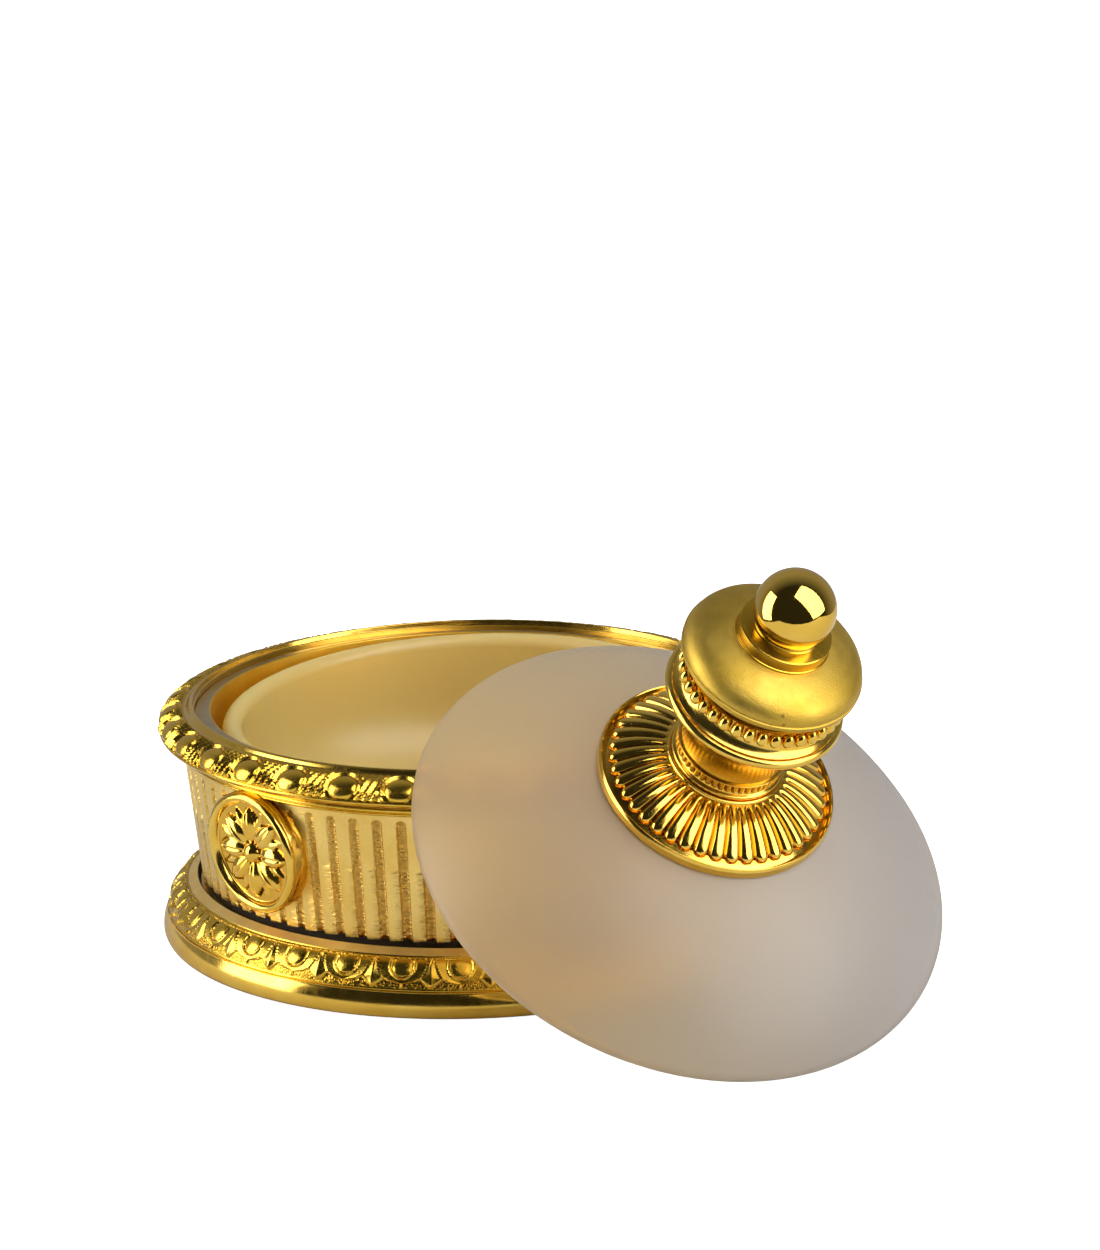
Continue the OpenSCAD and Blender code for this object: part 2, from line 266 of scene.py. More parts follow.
# painted light: a gold glow on the lid towards negative X, where the dish's gold shows through the glass
LID_PAINTED_GLOW = (0.84, 0.68, 0.41), 0.0, 0.075
MATERIALS = {
    "polished": gold("gold_polished", *GOLD_PAIR, (0.10, 0.20), (0.006, 2600)),
    "plated": gold("gold_plated", (0.86, 0.57, 0.085), (0.76, 0.46, 0.045), (0.17, 0.28), (0.022, 2600),
                   stipple=0.06),
    "satin": gold("gold_satin", (0.93, 0.66, 0.20), (0.86, 0.56, 0.13), (0.24, 0.38), (0.030, 2400),
                  chatter=0.35),
    "sanded": gold("gold_sanded", (0.68, 0.46, 0.085), (0.56, 0.36, 0.045), (0.40, 0.54), (0.070, 3200)),
    "brushed": gold("gold_brushed", (0.74, 0.45, 0.045), (0.64, 0.37, 0.03), (0.20, 0.28), (0.003, 1800)),
    "wiped": gold("gold_wiped", *GOLD_PAIR, (0.14, 0.24), (0.004, 1800)),
    "lining": gold("gold_lining", (0.90, 0.60, 0.10), (0.84, 0.52, 0.06), (0.30, 0.42), (0.006, 1500)),
    "ledge": plain("ledge_plate", (0.62, 0.50, 0.31), (0.52, 0.40, 0.22), 0.38, 1.0),
    "fillet": plain("fillet_plate", (0.90, 0.66, 0.24), (0.82, 0.56, 0.17), 0.42, 0.75),
    # near-black colour painted into the groove at the drum's foot, standing in for the shadow there
    "groove_shade": plain("painted_groove_shade", (0.02, 0.013, 0.006), (0.05, 0.032, 0.012), 0.7),
    "mirror": gold("gold_mirror", *GOLD_PAIR, (0.03, 0.08), (0.003, 1800)),
    "lid": frosted("frosted_lid", (0.67, 0.61, 0.575), (0.63, 0.58, 0.55), 0.76, 0.38, LID_PAINTED_GLOW),
    # the liner's colour is pale glass with painted light: its strong yellow stands in for the cup's gold
    # shining through the frosted glass
    "liner": frosted("frosted_liner", (0.99, 0.84, 0.34), (0.98, 0.79, 0.28), 0.62, 0.34),
    "steel": plain("steel", (0.55, 0.55, 0.56), (0.45, 0.45, 0.47), 0.35, 1.0),
    "rubber": plain("soft_black", (0.03, 0.03, 0.03), (0.05, 0.05, 0.05), 0.6),
    "clear": plain("clear_soft", (0.7, 0.7, 0.68), (0.6, 0.6, 0.58), 0.3),
    "felt": plain("felt", (0.02, 0.02, 0.022), (0.035, 0.033, 0.035), 0.9, grain=(0.12, 3500), weave=0.1),
}


# ---------------------------------------------------------------- mesh helpers
def arc(centre, radius, start, end, steps=12, tall=1.0):
    """Points of an arc, angles in degrees, squeezed by tall in height."""
    return [(centre[0] + radius * math.cos(math.radians(start + (end - start) * i / steps)),
             centre[1] + tall * radius * math.sin(math.radians(start + (end - start) * i / steps)))
            for i in range(steps + 1)]


def rounded(points, steps=5):
    """Rounds the corners of an open outline; a point is (r, z) or (r, z, radius)."""
    out = []
    for i, p in enumerate(points):
        if len(p) == 2 or i in (0, len(points) - 1):
            out.append(tuple(p[:2]))
            continue
        here, before, after = (np.array(q[:2], float) for q in (p, points[i - 1], points[i + 1]))
        a, b = before - here, after - here
        la, lb = np.linalg.norm(a), np.linalg.norm(b)
        a, b = a / la, b / lb
        half = math.acos(max(-1, min(1, float(a @ b)))) / 2
        back = min(p[2] / math.tan(half), 0.49 * la, 0.49 * lb)
        for k in range(steps + 1):
            t = k / steps
            q = here + a * back * (1 - t) ** 2 + b * back * t ** 2
            out.append((float(q[0]), float(q[1])))
    return out


def finer(points, longest):
    """Splits the long stretches of an outline."""
    out = [points[0]]
    for p, q in zip(points, points[1:]):
        n = max(1, math.ceil(math.dist(p, q) / longest))
        out += [(p[0] + (q[0] - p[0]) * k / n, p[1] + (q[1] - p[1]) * k / n) for k in range(1, n + 1)]
    return out


def build_mesh(name, verts, faces, place, material, attributes, crease=40):
    """An object from points in millimetres; edges sharper than crease degrees stay sharp."""
    mesh = bpy.data.meshes.new(name)
    mesh.from_pydata([tuple(v) for v in verts], [], faces)
    mesh.update()
    for key, values in attributes.items():
        layer = mesh.attributes.new(key, "FLOAT", "POINT")
        layer.data.foreach_set("value", np.asarray(values, np.float32))
    mesh.transform(place)
    mesh.transform(Matrix.Diagonal((MM, MM, MM, 1)))
    mesh.shade_smooth()
    mesh.set_sharp_from_angle(angle=math.radians(crease))
    mesh.materials.append(MATERIALS[material])
    thing = bpy.data.objects.new(name, mesh)
    scene.collection.objects.link(thing)
    return thing


def join(a, b, columns, lone_a=False, lone_b=False):
    """Faces between the rings of points that start at a and b; a lone ring is one point on the axis."""
    pairs = [(k, (k + 1) % columns) for k in range(columns)]
    if lone_a:
        return [(a, b + m, b + k) for k, m in pairs]
    if lone_b:
        return [(a + k, a + m, b) for k, m in pairs]
    return [(a + k, a + m, b + m, b + k) for k, m in pairs]


def lathe(name, outline, material, place=UPRIGHT, columns=256, closed=True, relief=None, angles=None,
          crease=40):
    """Turns an outline (r, z) about Z. relief(r, z, angle) returns how far each point moves along the
    outline's normal, and the mesh attributes relief, which sets where gold is painted darker as shade, and
    ground."""
    outline = [p for i, p in enumerate(outline) if i == 0 or math.dist(p, outline[i - 1]) > TINY]
    if closed and math.dist(outline[0], outline[-1]) < TINY:
        outline = outline[:-1]
    rz = np.array(outline, float)
    ahead = np.roll(rz, -1, 0) - np.roll(rz, 1, 0)
    if not closed:
        ahead[0], ahead[-1] = rz[1] - rz[0], rz[-1] - rz[-2]
    ahead /= np.linalg.norm(ahead, axis=1)[:, None]
    normal = np.stack([ahead[:, 1], -ahead[:, 0]], 1)
    if angles is None:
        angles = np.arange(columns) * TAU / columns
    columns = len(angles)
    rows = len(rz)
    r = np.repeat(rz[:, :1], columns, 1)
    z = np.repeat(rz[:, 1:], columns, 1)
    high = np.ones((rows, columns))
    ground = np.zeros((rows, columns))
    if relief:
        shift, high, ground = relief(r, z, np.repeat(angles[None, :], rows, 0))
        r = r + shift * normal[:, :1]
        z = z + shift * normal[:, 1:]
    lone = rz[:, 0] < TINY
    verts, hollow_shade_values, ground_values, first = [], [], [], []
    for i in range(rows):
        first.append(len(verts))
        if lone[i]:
            verts.append((0, 0, z[i, 0]))
            hollow_shade_values.append(high[i, 0])
            ground_values.append(ground[i, 0])
            continue
        verts += list(zip(r[i] * np.cos(angles), r[i] * np.sin(angles), z[i]))
        hollow_shade_values += list(high[i])
        ground_values += list(ground[i])
    faces = []
    for i in range(rows if closed else rows - 1):
        j = (i + 1) % rows
        if not (lone[i] and lone[j]):
            faces += join(first[i], first[j], columns, lone[i], lone[j])
    return build_mesh(name, verts, faces, place, material, {"relief": hollow_shade_values, "ground": ground_values},
                      crease)


def paint(piece, material, chosen):
    """Gives another material to the faces whose middle radius and height, in millimetres, are chosen."""
    piece.data.materials.append(MATERIALS[material])
    for face in piece.data.polygons:
        if chosen(math.hypot(face.center.x, face.center.y) / MM, face.center.z / MM):
            face.material_index = len(piece.data.materials) - 1


def keep(piece, body, slot, *nodes):
    """Hangs a piece on its body and hides the CAD nodes it stands for; its slot is not used."""
    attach(piece, body)
    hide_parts(*nodes)
    return piece


# ---------------------------------------------------------------- relief helpers
def step(x, low, high):
    """Smooth step from 0 at low to 1 at high."""
    t = np.clip((x - low) / (high - low), 0, 1)
    return t * t * (3 - 2 * t)


def within(x, low, high):
    return (x > low) & (x < high)


def dome(rho):
    """Height of half a ball, 1 in the middle and 0 from rho 1 outwards."""
    return np.sqrt(np.clip(1 - rho ** 2, 0, 1))


def ridge(distance, width):
    """Height of a soft ridge that runs along distance 0."""
    return np.exp(-(distance / width) ** 2)


def across(angle, count, start_deg):
    """Signed angle to the middle of the nearest of count repeats."""
    pitch = TAU / count
    return (angle - math.radians(start_deg) + pitch / 2) % pitch - pitch / 2


# ---------------------------------------------------------------- foot
# w is measured along the carved band from its foot, widths are measured round it at FOOT_WIDTH_R
FOOT_EGGS, FOOT_EGG_TURN, FOOT_WIDTH_R = 33, -103.4, 57.5
FOOT_BAND_MID, FOOT_BAND_R, FOOT_BAND_START, FOOT_BAND_END = (51.47, 4.35), 7.72, 8.6, 54.1
FOOT_BAND_LENGTH = 7.0
FOOT_EGG_W, FOOT_EGG_WIDE, FOOT_EGG_BELOW, FOOT_EGG_ABOVE = 4.9, 2.35, 2.5, 4.2
HORSESHOE_W = [1.5, 1.7, 2.0, 2.65, 3.1, 4.0, 5.2, 6.5]
HORSESHOE_HALF = [0.0, 1.2, 2.2, 3.4, 3.8, 4.25, 4.7, 5.1]
DART_W = [0.8, 2.65, 3.1, 4.0, 5.2, 6.5]
DART_HALF = [0.0, 1.95, 1.7, 1.25, 0.75, 0.35]
DOT_W, DOT_PITCH = 6.82, 0.61


def foot_relief(r, z, angle):
    """Egg and dart: eggs in ridged horseshoes, faceted darts with a pointed foot, a row of dots above."""
    turned = np.arctan2(z - FOOT_BAND_MID[1], r - FOOT_BAND_MID[0]) - math.radians(FOOT_BAND_START)
    w = turned * FOOT_BAND_R
    on = (within(z, 5.45, 11.2) & within(w, -0.02, FOOT_BAND_LENGTH) & within(r, 54.9, 59.8)).astype(float)
    u = across(angle, FOOT_EGGS, FOOT_EGG_TURN) * FOOT_WIDTH_R
    side = TAU / FOOT_EGGS * FOOT_WIDTH_R / 2 - np.abs(u)
    drop = w - FOOT_EGG_W
    rho = np.hypot(u / FOOT_EGG_WIDE, drop / np.where(drop < 0, FOOT_EGG_BELOW, FOOT_EGG_ABOVE))
    egg = 0.10 + 0.34 * dome(rho / 0.84)
    egg_edge = 0.52 * ridge(rho - 1.0, 0.085)
    reach = np.interp(w, HORSESHOE_W, HORSESHOE_HALF)
    inside = np.clip(1 - np.abs(u) / np.maximum(reach, 1e-3), 0, 1)
    shell = np.where((inside > 0) & (rho > 0.9), 0.20 + 0.22 * (1 - inside) ** 2, 0)
    shell_edge = 0.47 * ridge(np.abs(u) - reach, 0.17) * step(w, 1.7, 2.3)
    half = np.interp(w, DART_W, DART_HALF)
    facet = np.clip(1 - side / np.maximum(half, 1e-3), 0, 1)
    dart = np.where(facet > 0, 0.26 + 0.34 * facet, 0)
    dart_edge = 0.42 * ridge(side - half, 0.14) * step(w, 0.9, 1.2)
    body = np.where(rho < 0.9, egg, shell)
    height = np.maximum.reduce([body, egg_edge, shell_edge, dart, dart_edge])
    height = height * step(w, 0.6, 0.9) * (1 - step(w, 6.4, 6.6))
    low_line = 0.12 * (1 - step(w, 0.45, 0.55))
    dots = 0.26 * ridge(w - DOT_W, 0.2) * (0.5 + 0.5 * np.cos(u * TAU / DOT_PITCH))
    height = np.maximum(height, np.maximum(low_line, dots))
    # painted shade: the relief value is low on the ground and in the carving's hollows, which gold()
    # colours darker
    high = np.where(on > 0, np.clip(0.2 + 2.4 * height, 0, 1), 1)
    ground = on * (1 - step(height, 0.08, 0.2)) * step(w, 0.5, 0.6)
    return on * height, high, ground


def add_foot():
    """Plain plinth, carved band, pale fillet and the groove in which the drum stands, painted near black
    for the shade in it.
    """
    under = rounded([(50.3, 2.6), (56.7, 2.6, 0.2), (56.7, 0.35, 0.2), (58.6, 0.3)])
    plinth = arc((58.1, 2.0), 1.88, -62, 0, 8) \
        + rounded(arc((53.0, 2.0), 6.98, 3, 28, 16)
                  + [(59.16, 5.42, 0.3), (58.75, 5.45, 0.05), (58.7, 5.38)])
    band = arc(FOOT_BAND_MID, FOOT_BAND_R - 0.35, 10, FOOT_BAND_END, 62)
    band += finer([band[-1], (55.2, 10.75), (54.9, 10.95)], 0.12)[1:]
    top = rounded([band[-1], (54.85, 11.12, 0.05), (54.7, 11.22, 0.08), (53.0, 12.12, 0.12),
                   (52.85, 12.0, 0.05), (52.4, 10.9), (50.3, 10.9), (50.3, 2.6)])
    outline = under + plinth[1:] + band + top[1:]
    foot = lathe("foot", outline, "plated", columns=FOOT_EGGS * 46, relief=foot_relief, crease=50)
    paint(foot, "polished", lambda r, z: z < 5.4)
    paint(foot, "fillet", lambda r, z: z > 11.16 and r > 53.1)
    # painted shade: the groove between fillet and drum is coloured near black for the shadow in it
    paint(foot, "groove_shade", lambda r, z: z > 10.92 and 52.3 < r < 53.1)
    return keep(foot, "dish", "gold_polished", "foot_ring")


# ---------------------------------------------------------------- drum
FLUTES, FLUTE_TURN, FLUTE_TOP = 74, -103.45, 36.75
FLUTE_HALF, FLUTE_DEEP, FLUTE_R = 0.98, 0.76, 53.6
FLUTE_SPOTS = [1.03, 1.12, 1.5, 2.0]


def drum_relief(r, z, angle):
    """Flutes with round tops that run out through the foot of the wall."""
    u = across(angle, FLUTES, FLUTE_TURN) * r
    above = np.clip(z - (FLUTE_TOP - FLUTE_HALF), 0, None)
    rho = np.hypot(u, above) / FLUTE_HALF
    on = (within(z, 12.7, 37.6) & (r > 51.9)).astype(float)
    deep = FLUTE_DEEP * np.sqrt(np.clip(1 - rho ** 2.8, 0, 1)) * on
    # painted shade: the second value is low in the flutes, which gold() colours darker, the deeper the
    # darker
    return -deep, np.clip(1 - 0.9 * deep / FLUTE_DEEP, 0, 1), np.where(deep > 0.05, 1.0, 0.0)


def add_drum():
    """The fluted wall. Its columns of points lie close together in the flutes and apart between them."""
    low, high = (52.14, 12.95), (54.72, 37.6)
    wall = finer([low, (54.48, 35.2)], 0.9) + finer([(54.48, 35.2), (54.62, 37.0)], 0.13)[1:] + [high]
    outline = rounded([(50.6, 10.9), (50.95, 10.9, 0.1), (50.95, 12.72, 0.1), (52.08, 12.74, 0.16), low]) \
        + wall[1:] + rounded([high, (54.85, 40.1, 0.1), (50.6, 40.1), (50.6, 10.9)])[1:]
    pitch = TAU / FLUTES
    spots = np.concatenate([np.linspace(-1, 1, 15) * 0.999, FLUTE_SPOTS]) * FLUTE_HALF / FLUTE_R
    angles = np.concatenate([math.radians(FLUTE_TURN) + pitch * k + spots for k in range(FLUTES)])
    drum = lathe("drum_wall", outline, "satin", relief=drum_relief, angles=angles, crease=55)
    # painted shade: the drum's foot, down in the groove, is coloured near black for the shadow there
    paint(drum, "groove_shade", lambda r, z: z < 12.73)
    return keep(drum, "dish", "gold_satin", "drum")


# ---------------------------------------------------------------- rim
# w is measured along the carved band from its foot, widths are measured round it at RIM_WIDTH_R
RIM_EGGS, RIM_EGG_TURN, RIM_WIDTH_R = 33, -102.6, 56.6
RIM_MID, RIM_R, RIM_TALL, RIM_MEAN = (53.9, 41.6), 5.1, 3.6, 4.45
RIM_BAND_LOW, RIM_BAND_HIGH = 41.65, 45.21
RIM_EGG_W, RIM_EGG_WIDE, RIM_EGG_BELOW, RIM_EGG_ABOVE = 3.1, 2.65, 3.0, 2.45
STRAND_PITCH, STRAND_SLANT = 1.5, 0.35


def rim_relief(r, z, angle):
    """Egg and dart on a rounded rim: round bosses under plain arches, slanting strands between them."""
    w = np.arctan2((z - RIM_MID[1]) / RIM_TALL, (r - RIM_MID[0]) / RIM_R) * RIM_MEAN
    on = (within(z, RIM_BAND_LOW, RIM_BAND_HIGH) & (r > 54.3)).astype(float)
    u = across(angle, RIM_EGGS, RIM_EGG_TURN) * RIM_WIDTH_R
    drop = w - RIM_EGG_W
    rho = np.hypot(u / RIM_EGG_WIDE, drop / np.where(drop < 0, RIM_EGG_BELOW, RIM_EGG_ABOVE))
    arch = 0.95 * ridge(rho - 1.22, 0.10) * step(drop, -2.2, -0.6)
    side = TAU / RIM_EGGS * RIM_WIDTH_R / 2 - np.abs(u)
    side = np.where(u < 0, -side, side) + STRAND_SLANT * (w - 3)
    strand = 0.5 + 0.5 * np.cos(side * TAU / STRAND_PITCH)
    dart = (0.1 + 0.8 * strand) * step(rho, 1.32, 1.5)
    height = np.maximum.reduce([dome(rho), np.where(rho > 1, arch, 0), dart])
    height = height * step(w, 0.1, 0.4) * (1 - step(w, 6.1, 6.5))
    # painted shade: the relief value is low between the eggs and strands, which gold() colours darker
    high = np.where(on > 0, np.clip(0.15 + 1.2 * height, 0, 1), 1)
    return 0.62 * on * height, high, np.zeros_like(r)


def add_rim():
    """Small rings under a carved rounded lip, and a narrow polished crest of two steps."""
    under = rounded([(50.3, 40.3), (55.1, 40.3, 0.05), (55.1, 37.95, 0.05), (55.35, 37.9, 0.1)])
    rings = rounded([(55.35, 37.9), (55.6, 38.15, 0.2), (55.6, 38.4, 0.15), (55.3, 38.6, 0.1),
                     (55.75, 38.75, 0.15), (55.75, 39.15, 0.15), (55.45, 39.35, 0.1), (56.0, 39.9, 0.4),
                     (57.9, 40.35, 0.2)])
    lip = rounded([(57.9, 40.35), (58.4, 40.5, 0.15), (59.25, 41.15, 0.5), (59.2, 41.6, 0.15),
                   (59.0, 41.72)])
    band = [(RIM_MID[0] + RIM_R * math.cos(t), RIM_MID[1] + RIM_TALL * math.sin(t))
            for t in np.linspace(0.05, math.radians(84), 60)]
    crest = rounded([band[-1], (54.0, 45.2, 0.1), (53.65, 45.5, 0.15), (53.3, 46.0, 0.25),
                     (52.95, 46.27, 0.15), (52.62, 46.2, 0.12), (52.5, 45.35, 0.08), (52.33, 45.22, 0.08),
                     (52.3, 43.65), (50.3, 43.65), (50.3, 40.3)])
    outline = under + rings[1:] + lip[1:] + band + crest[1:]
    rim = lathe("rim", outline, "plated", columns=RIM_EGGS * 44, relief=rim_relief)
    paint(rim, "polished", lambda r, z: z > 43.6 and r < 54.4)
    return keep(rim, "dish", "gold_polished", "rim_ring")


def add_cup():
    """The plain cup in the drum; its turned-out top is the pale ledge inside the rim."""
    outline = rounded([(0, 11.1), (45.7, 11.1), (49.2, 11.1, 2.0), (49.2, 44.6, 0.15), (49.5, 44.7, 0.15),
                       (52.2, 44.25, 0.08), (52.2, 43.65, 0.1), (50.05, 43.65), (50.05, 9.65), (7, 9.65),
                       (7, 6.1), (2.6, 6.1), (2.6, 9.9), (0, 9.9)], 6)
    cup = lathe("cup", outline[::-1], "lining", columns=384, closed=False)
    paint(cup, "ledge", lambda r, z: z > 44.2 and r > 49.6)
    return keep(cup, "dish", "gold_polished", "inner_sleeve", "sleeve_floor")


# ---------------------------------------------------------------- medallions
MEDALS, MEDAL_TURN, MEDAL_AT = 4, 223, (54.75, 0, 27.0)
DRUM_SLOPE = math.atan(2.8 / 27.9)
PETALS, PETAL_R, PETAL_HALF = 8, 5.3, 3.6
SEPAL_R, SEPAL_HALF = 6.3, 2.7


def medal_relief(r, z, angle):
    """A flower of eight petals over eight pointed sepals, with a round heart."""
    front = (z > 0.2).astype(float)
    u = across(angle, PETALS, 0) * r
    v = across(angle, PETALS, 180 / PETALS) * r
    petal_wide = np.maximum(2.15 - 0.06 * (r - PETAL_R) ** 2, 0.3)
    petal_rho = np.hypot((r - PETAL_R) / PETAL_HALF, u / petal_wide)
    petal = 1.2 * dome(petal_rho) - 0.2 * ridge(u, 0.22) * (petal_rho < 0.8)
    sepal_wide = np.maximum(1.2 * (1 - np.clip((r - SEPAL_R) / 3.4, 0, 0.9)), 0.2)
    sepal = 0.6 * dome(np.hypot((r - SEPAL_R) / SEPAL_HALF, v / sepal_wide))
    heart = 1.6 * dome(r / 2.1)
    height = np.maximum(np.maximum(petal, sepal), heart) * (r < 9.6)
    # painted shade: the relief value is low in the field between the petals, which gold() colours darker
    high = np.where(r < 9.8, np.clip(0.25 + height, 0, 1), 1)
    return 1.25 * front * height, high, np.zeros_like(r)


def add_medallions():
    """Four discs with a raised border and a dished field."""
    field = [(x, 0.55 - 0.25 * (1 - (x / 9.7) ** 2)) for x in np.linspace(0, 9.7, 52)]
    outline = [(0, -3.2), (6, -3.2), (11.5, -3.2), (11.75, -3.0), (11.85, 0.4)] \
        + arc((10.9, 0.8), 0.97, -20, 120, 8) + [(10.1, 1.3), (9.9, 0.8), (9.8, 0.6)] + field[::-1]
    for m in range(MEDALS):
        place = Matrix.Rotation(math.radians(MEDAL_TURN + 360 * m / MEDALS), 4, "Z") \
            @ Matrix.Translation(MEDAL_AT) @ Matrix.Rotation(math.pi / 2 + DRUM_SLOPE, 4, "Y") \
            @ Matrix.Rotation(math.pi, 4, "Z")
        keep(lathe(f"medallion_face_{m + 1}", outline, "polished", place, columns=192, closed=False,
                   relief=medal_relief), "dish", "gold_polished", f"medallion_{m + 1}")


# ---------------------------------------------------------------- glass
LINER_R, LINER_WALL, LINER_Z, LINER_LOW = 47.1, 3.8, 41.5, -27.9
LINER_PLACE = Matrix.Translation((0, 0, LINER_Z)) @ Matrix.Rotation(math.radians(-1.3), 4, "Y") \
    @ Matrix.Rotation(math.radians(2.4), 4, "X")


def add_liner():
    """The bowl is drawn about the middle of its rounded lip and sits a little unevenly."""
    lip = LINER_WALL / 2
    inside = LINER_LOW + LINER_WALL
    outline = [(0, LINER_LOW)] + arc((LINER_R - 16.4, LINER_LOW + 16), 16, -90, 0, 24) \
        + arc((LINER_R - lip, 0), lip, -20, 200, 24) \
        + arc((LINER_R - LINER_WALL - 13.7, inside + 14), 14, 0, -90, 24) + [(0, inside)]
    return keep(lathe("frosted_bowl", outline, "liner", LINER_PLACE, columns=320, closed=False, crease=60),
                "liner", "frosted_liner", "glass_liner")


EDGE_R, DOME_R, GLASS_T, KNOB_HOLE_R = 48.7, 65.6, 3.5, 4.3
DOME_MID_Z = GLASS_T / 2 - math.sqrt((DOME_R - GLASS_T / 2) ** 2 - EDGE_R ** 2)


def dome_z(radius, r):
    """Height at r of a ball of this radius about the dome's middle."""
    return DOME_MID_Z + math.sqrt(radius ** 2 - r ** 2)


def add_lid():
    """A shallow glass dome with a rounded edge and a hole for the knob's stud."""
    inner = DOME_R - GLASS_T
    edge = math.degrees(math.atan2(GLASS_T / 2 - DOME_MID_Z, EDGE_R))
    start, stop = (math.degrees(math.acos(KNOB_HOLE_R / radius)) for radius in (DOME_R, inner))
    outline = arc((0, DOME_MID_Z), DOME_R, start, edge, 60) \
        + arc((EDGE_R, GLASS_T / 2), GLASS_T / 2, edge, edge - 180, 24)[1:] \
        + arc((0, DOME_MID_Z), inner, edge, stop, 60)[1:]
    return keep(lathe("frosted_dome", outline[::-1], "lid", LEAN, columns=384, crease=60),
                "lid", "frosted_lid", "glass_lid")


# ---------------------------------------------------------------- knob
GADROONS, GADROON_TURN, GADROON_OUT, GADROON_IN = 42, -3.3, 20.95, 10.95
REEDS, REED_DEEP = 48, 0.6
BALL_Z, BALL_R, BALL_LOW = 69.4, 7.25, 65.22
BORE_R = 3.0


def crown(r):
    """Height of the rosette's ribs at radius r."""
    t = (20.9 - r) / 10.0
    return 24.95 + 4.65 * t + 3.6 * t * (1 - t)


def rosette_relief(r, z, angle):
    """Rounded ribs with round outer ends; the valleys between them fade out towards the middle."""
    u = across(angle, GADROONS, GADROON_TURN) * GADROONS / math.pi
    on = (within(r, 11.0, 20.99) & (z > 24.2)).astype(float)
    on = on * (z > crown(np.clip(r, 10.9, 20.95)) - 2.2)
    past = np.clip(r - 19.5, 0, None) / 1.45
    rho = np.hypot(u * 0.985, past)
    rib = (1 - np.clip(rho, 0, 1) ** 2.5) ** 0.52
    deep = np.interp(r, [11, 13, 18, 20.9], [0.4, 0.9, 1.35, 1.45])
    shift = -deep * (1 - rib) * step(r, 11.0, 11.9) * on
    # painted shade: the second value is low in the valleys between the ribs, which gold() colours darker
    return shift, np.where(on > 0, np.clip(rib ** 2, 0, 1), 1), np.zeros_like(r)


def add_rosette():
    """The ribbed flange that covers the hole in the glass."""
    seat = [(x, dome_z(DOME_R + 0.4, x)) for x in np.linspace(21.6, 9.0, 12)]
    rim = rounded([seat[0], (22.0, 22.75, 0.2), (22.0, 24.15, 0.4), (21.7, 24.8, 0.3), (21.45, 24.6, 0.15),
                   (21.25, 23.75, 0.1), (21.05, 23.6)])
    ribs = [(x, crown(x)) for x in np.linspace(GADROON_OUT, GADROON_IN, 48)]
    top = rounded([ribs[-1], (10.85, 29.95, 0.2), (10.6, 30.1, 0.2), (10.2, 30.0, 0.1), (9.9, 30.0),
                   (BORE_R, 30.0), (BORE_R, seat[-1][1] + 0.2), seat[-1]])
    flange = lathe("rosette_flange", rim + ribs + top[1:] + seat[::-1][1:], "polished", LEAN,
                   columns=GADROONS * 20, relief=rosette_relief, crease=50)
    return keep(flange, "lid", "gold_polished", "rosette")


def collar_relief(r, z, angle):
    """A row of short upright reeds."""
    u = across(angle, REEDS, 0) * REEDS / math.pi
    on = (within(z, 31.25, 33.05) & (r > 9.5)).astype(float)
    rib = dome(u) * (step(z, 31.3, 31.5) * (1 - step(z, 32.85, 33.0)))
    # painted shade: the second value is low between the reeds, which gold() colours darker
    return -REED_DEEP * on * (1 - rib), np.where(on > 0, np.clip(rib, 0, 1) ** 3, 1), np.zeros_like(r)


def add_collar():
    """The reeded ring between the rosette and the neck."""
    outline = rounded([(BORE_R, 30.05), (9.9, 30.05, 0.1), (10.4, 30.25, 0.3), (10.35, 30.85, 0.3),
                       (9.75, 31.1, 0.1), (9.75, 31.2)]) \
        + finer([(9.95, 31.26), (9.92, 33.04)], 0.12) \
        + rounded([(9.85, 33.1), (10.0, 33.15, 0.1), (10.0, 33.4, 0.1), (9.7, 33.45), (BORE_R, 33.45),
                   (BORE_R, 30.05)])
    return keep(lathe("reeded_ring", outline, "wiped", LEAN, columns=REEDS * 18, relief=collar_relief),
                "lid", "gold_polished", "reeded_collar")


def add_neck():
    """A hollow-curved neck that widens towards the saucer."""
    outline = [(BORE_R, 33.5), (9.55, 33.5)] + arc((20.5, 35), 11, 187, 124, 30) \
        + [(14.4, 44.25), (BORE_R, 44.25), (BORE_R, 33.5)]
    return keep(lathe("neck_cone", outline, "brushed", LEAN), "lid", "gold_satin", "neck")


def add_saucer():
    """A plate with a rolled edge under the drops."""
    outline = rounded([(BORE_R, 44.3), (14.3, 44.3, 0.1), (14.6, 44.75, 0.3), (15.2, 45.15)], 5) \
        + arc((15.35, 46.25), 1.05, -85, 85, 16) + [(15.25, 47.28), (15.2, 47.4)] \
        + arc((16.4, 49.9), 2.7, 246, 192, 12) + [(13.6, 49.55), (BORE_R, 49.55), (BORE_R, 44.3)]
    return keep(lathe("saucer", outline, "wiped", LEAN), "lid", "gold_polished", "bead_plate")


def add_cap():
    """A domed cap over a hollow moulding."""
    hollow = arc((16.6, 52.6), 3.3, 176, 108, 12)
    outline = [(BORE_R, 52.45), (13.25, 52.45)] + hollow \
        + rounded([hollow[-1], (16.45, 55.85, 0.06), (16.5, 56.7, 0.08), (16.3, 56.78, 0.02),
                   (16.2, 56.9, 0.02), (16.25, 57.2)]) \
        + [(16.0, 58.0), (15.55, 58.75), (14.85, 59.5), (13.8, 60.2), (12.5, 60.85), (11.2, 61.35),
           (9.85, 61.8), (8.9, 62.0), (BORE_R, 62.0), (BORE_R, 52.45)]
    return keep(lathe("cap", outline, "sanded", LEAN, crease=50), "lid", "gold_satin", "cap_dome")


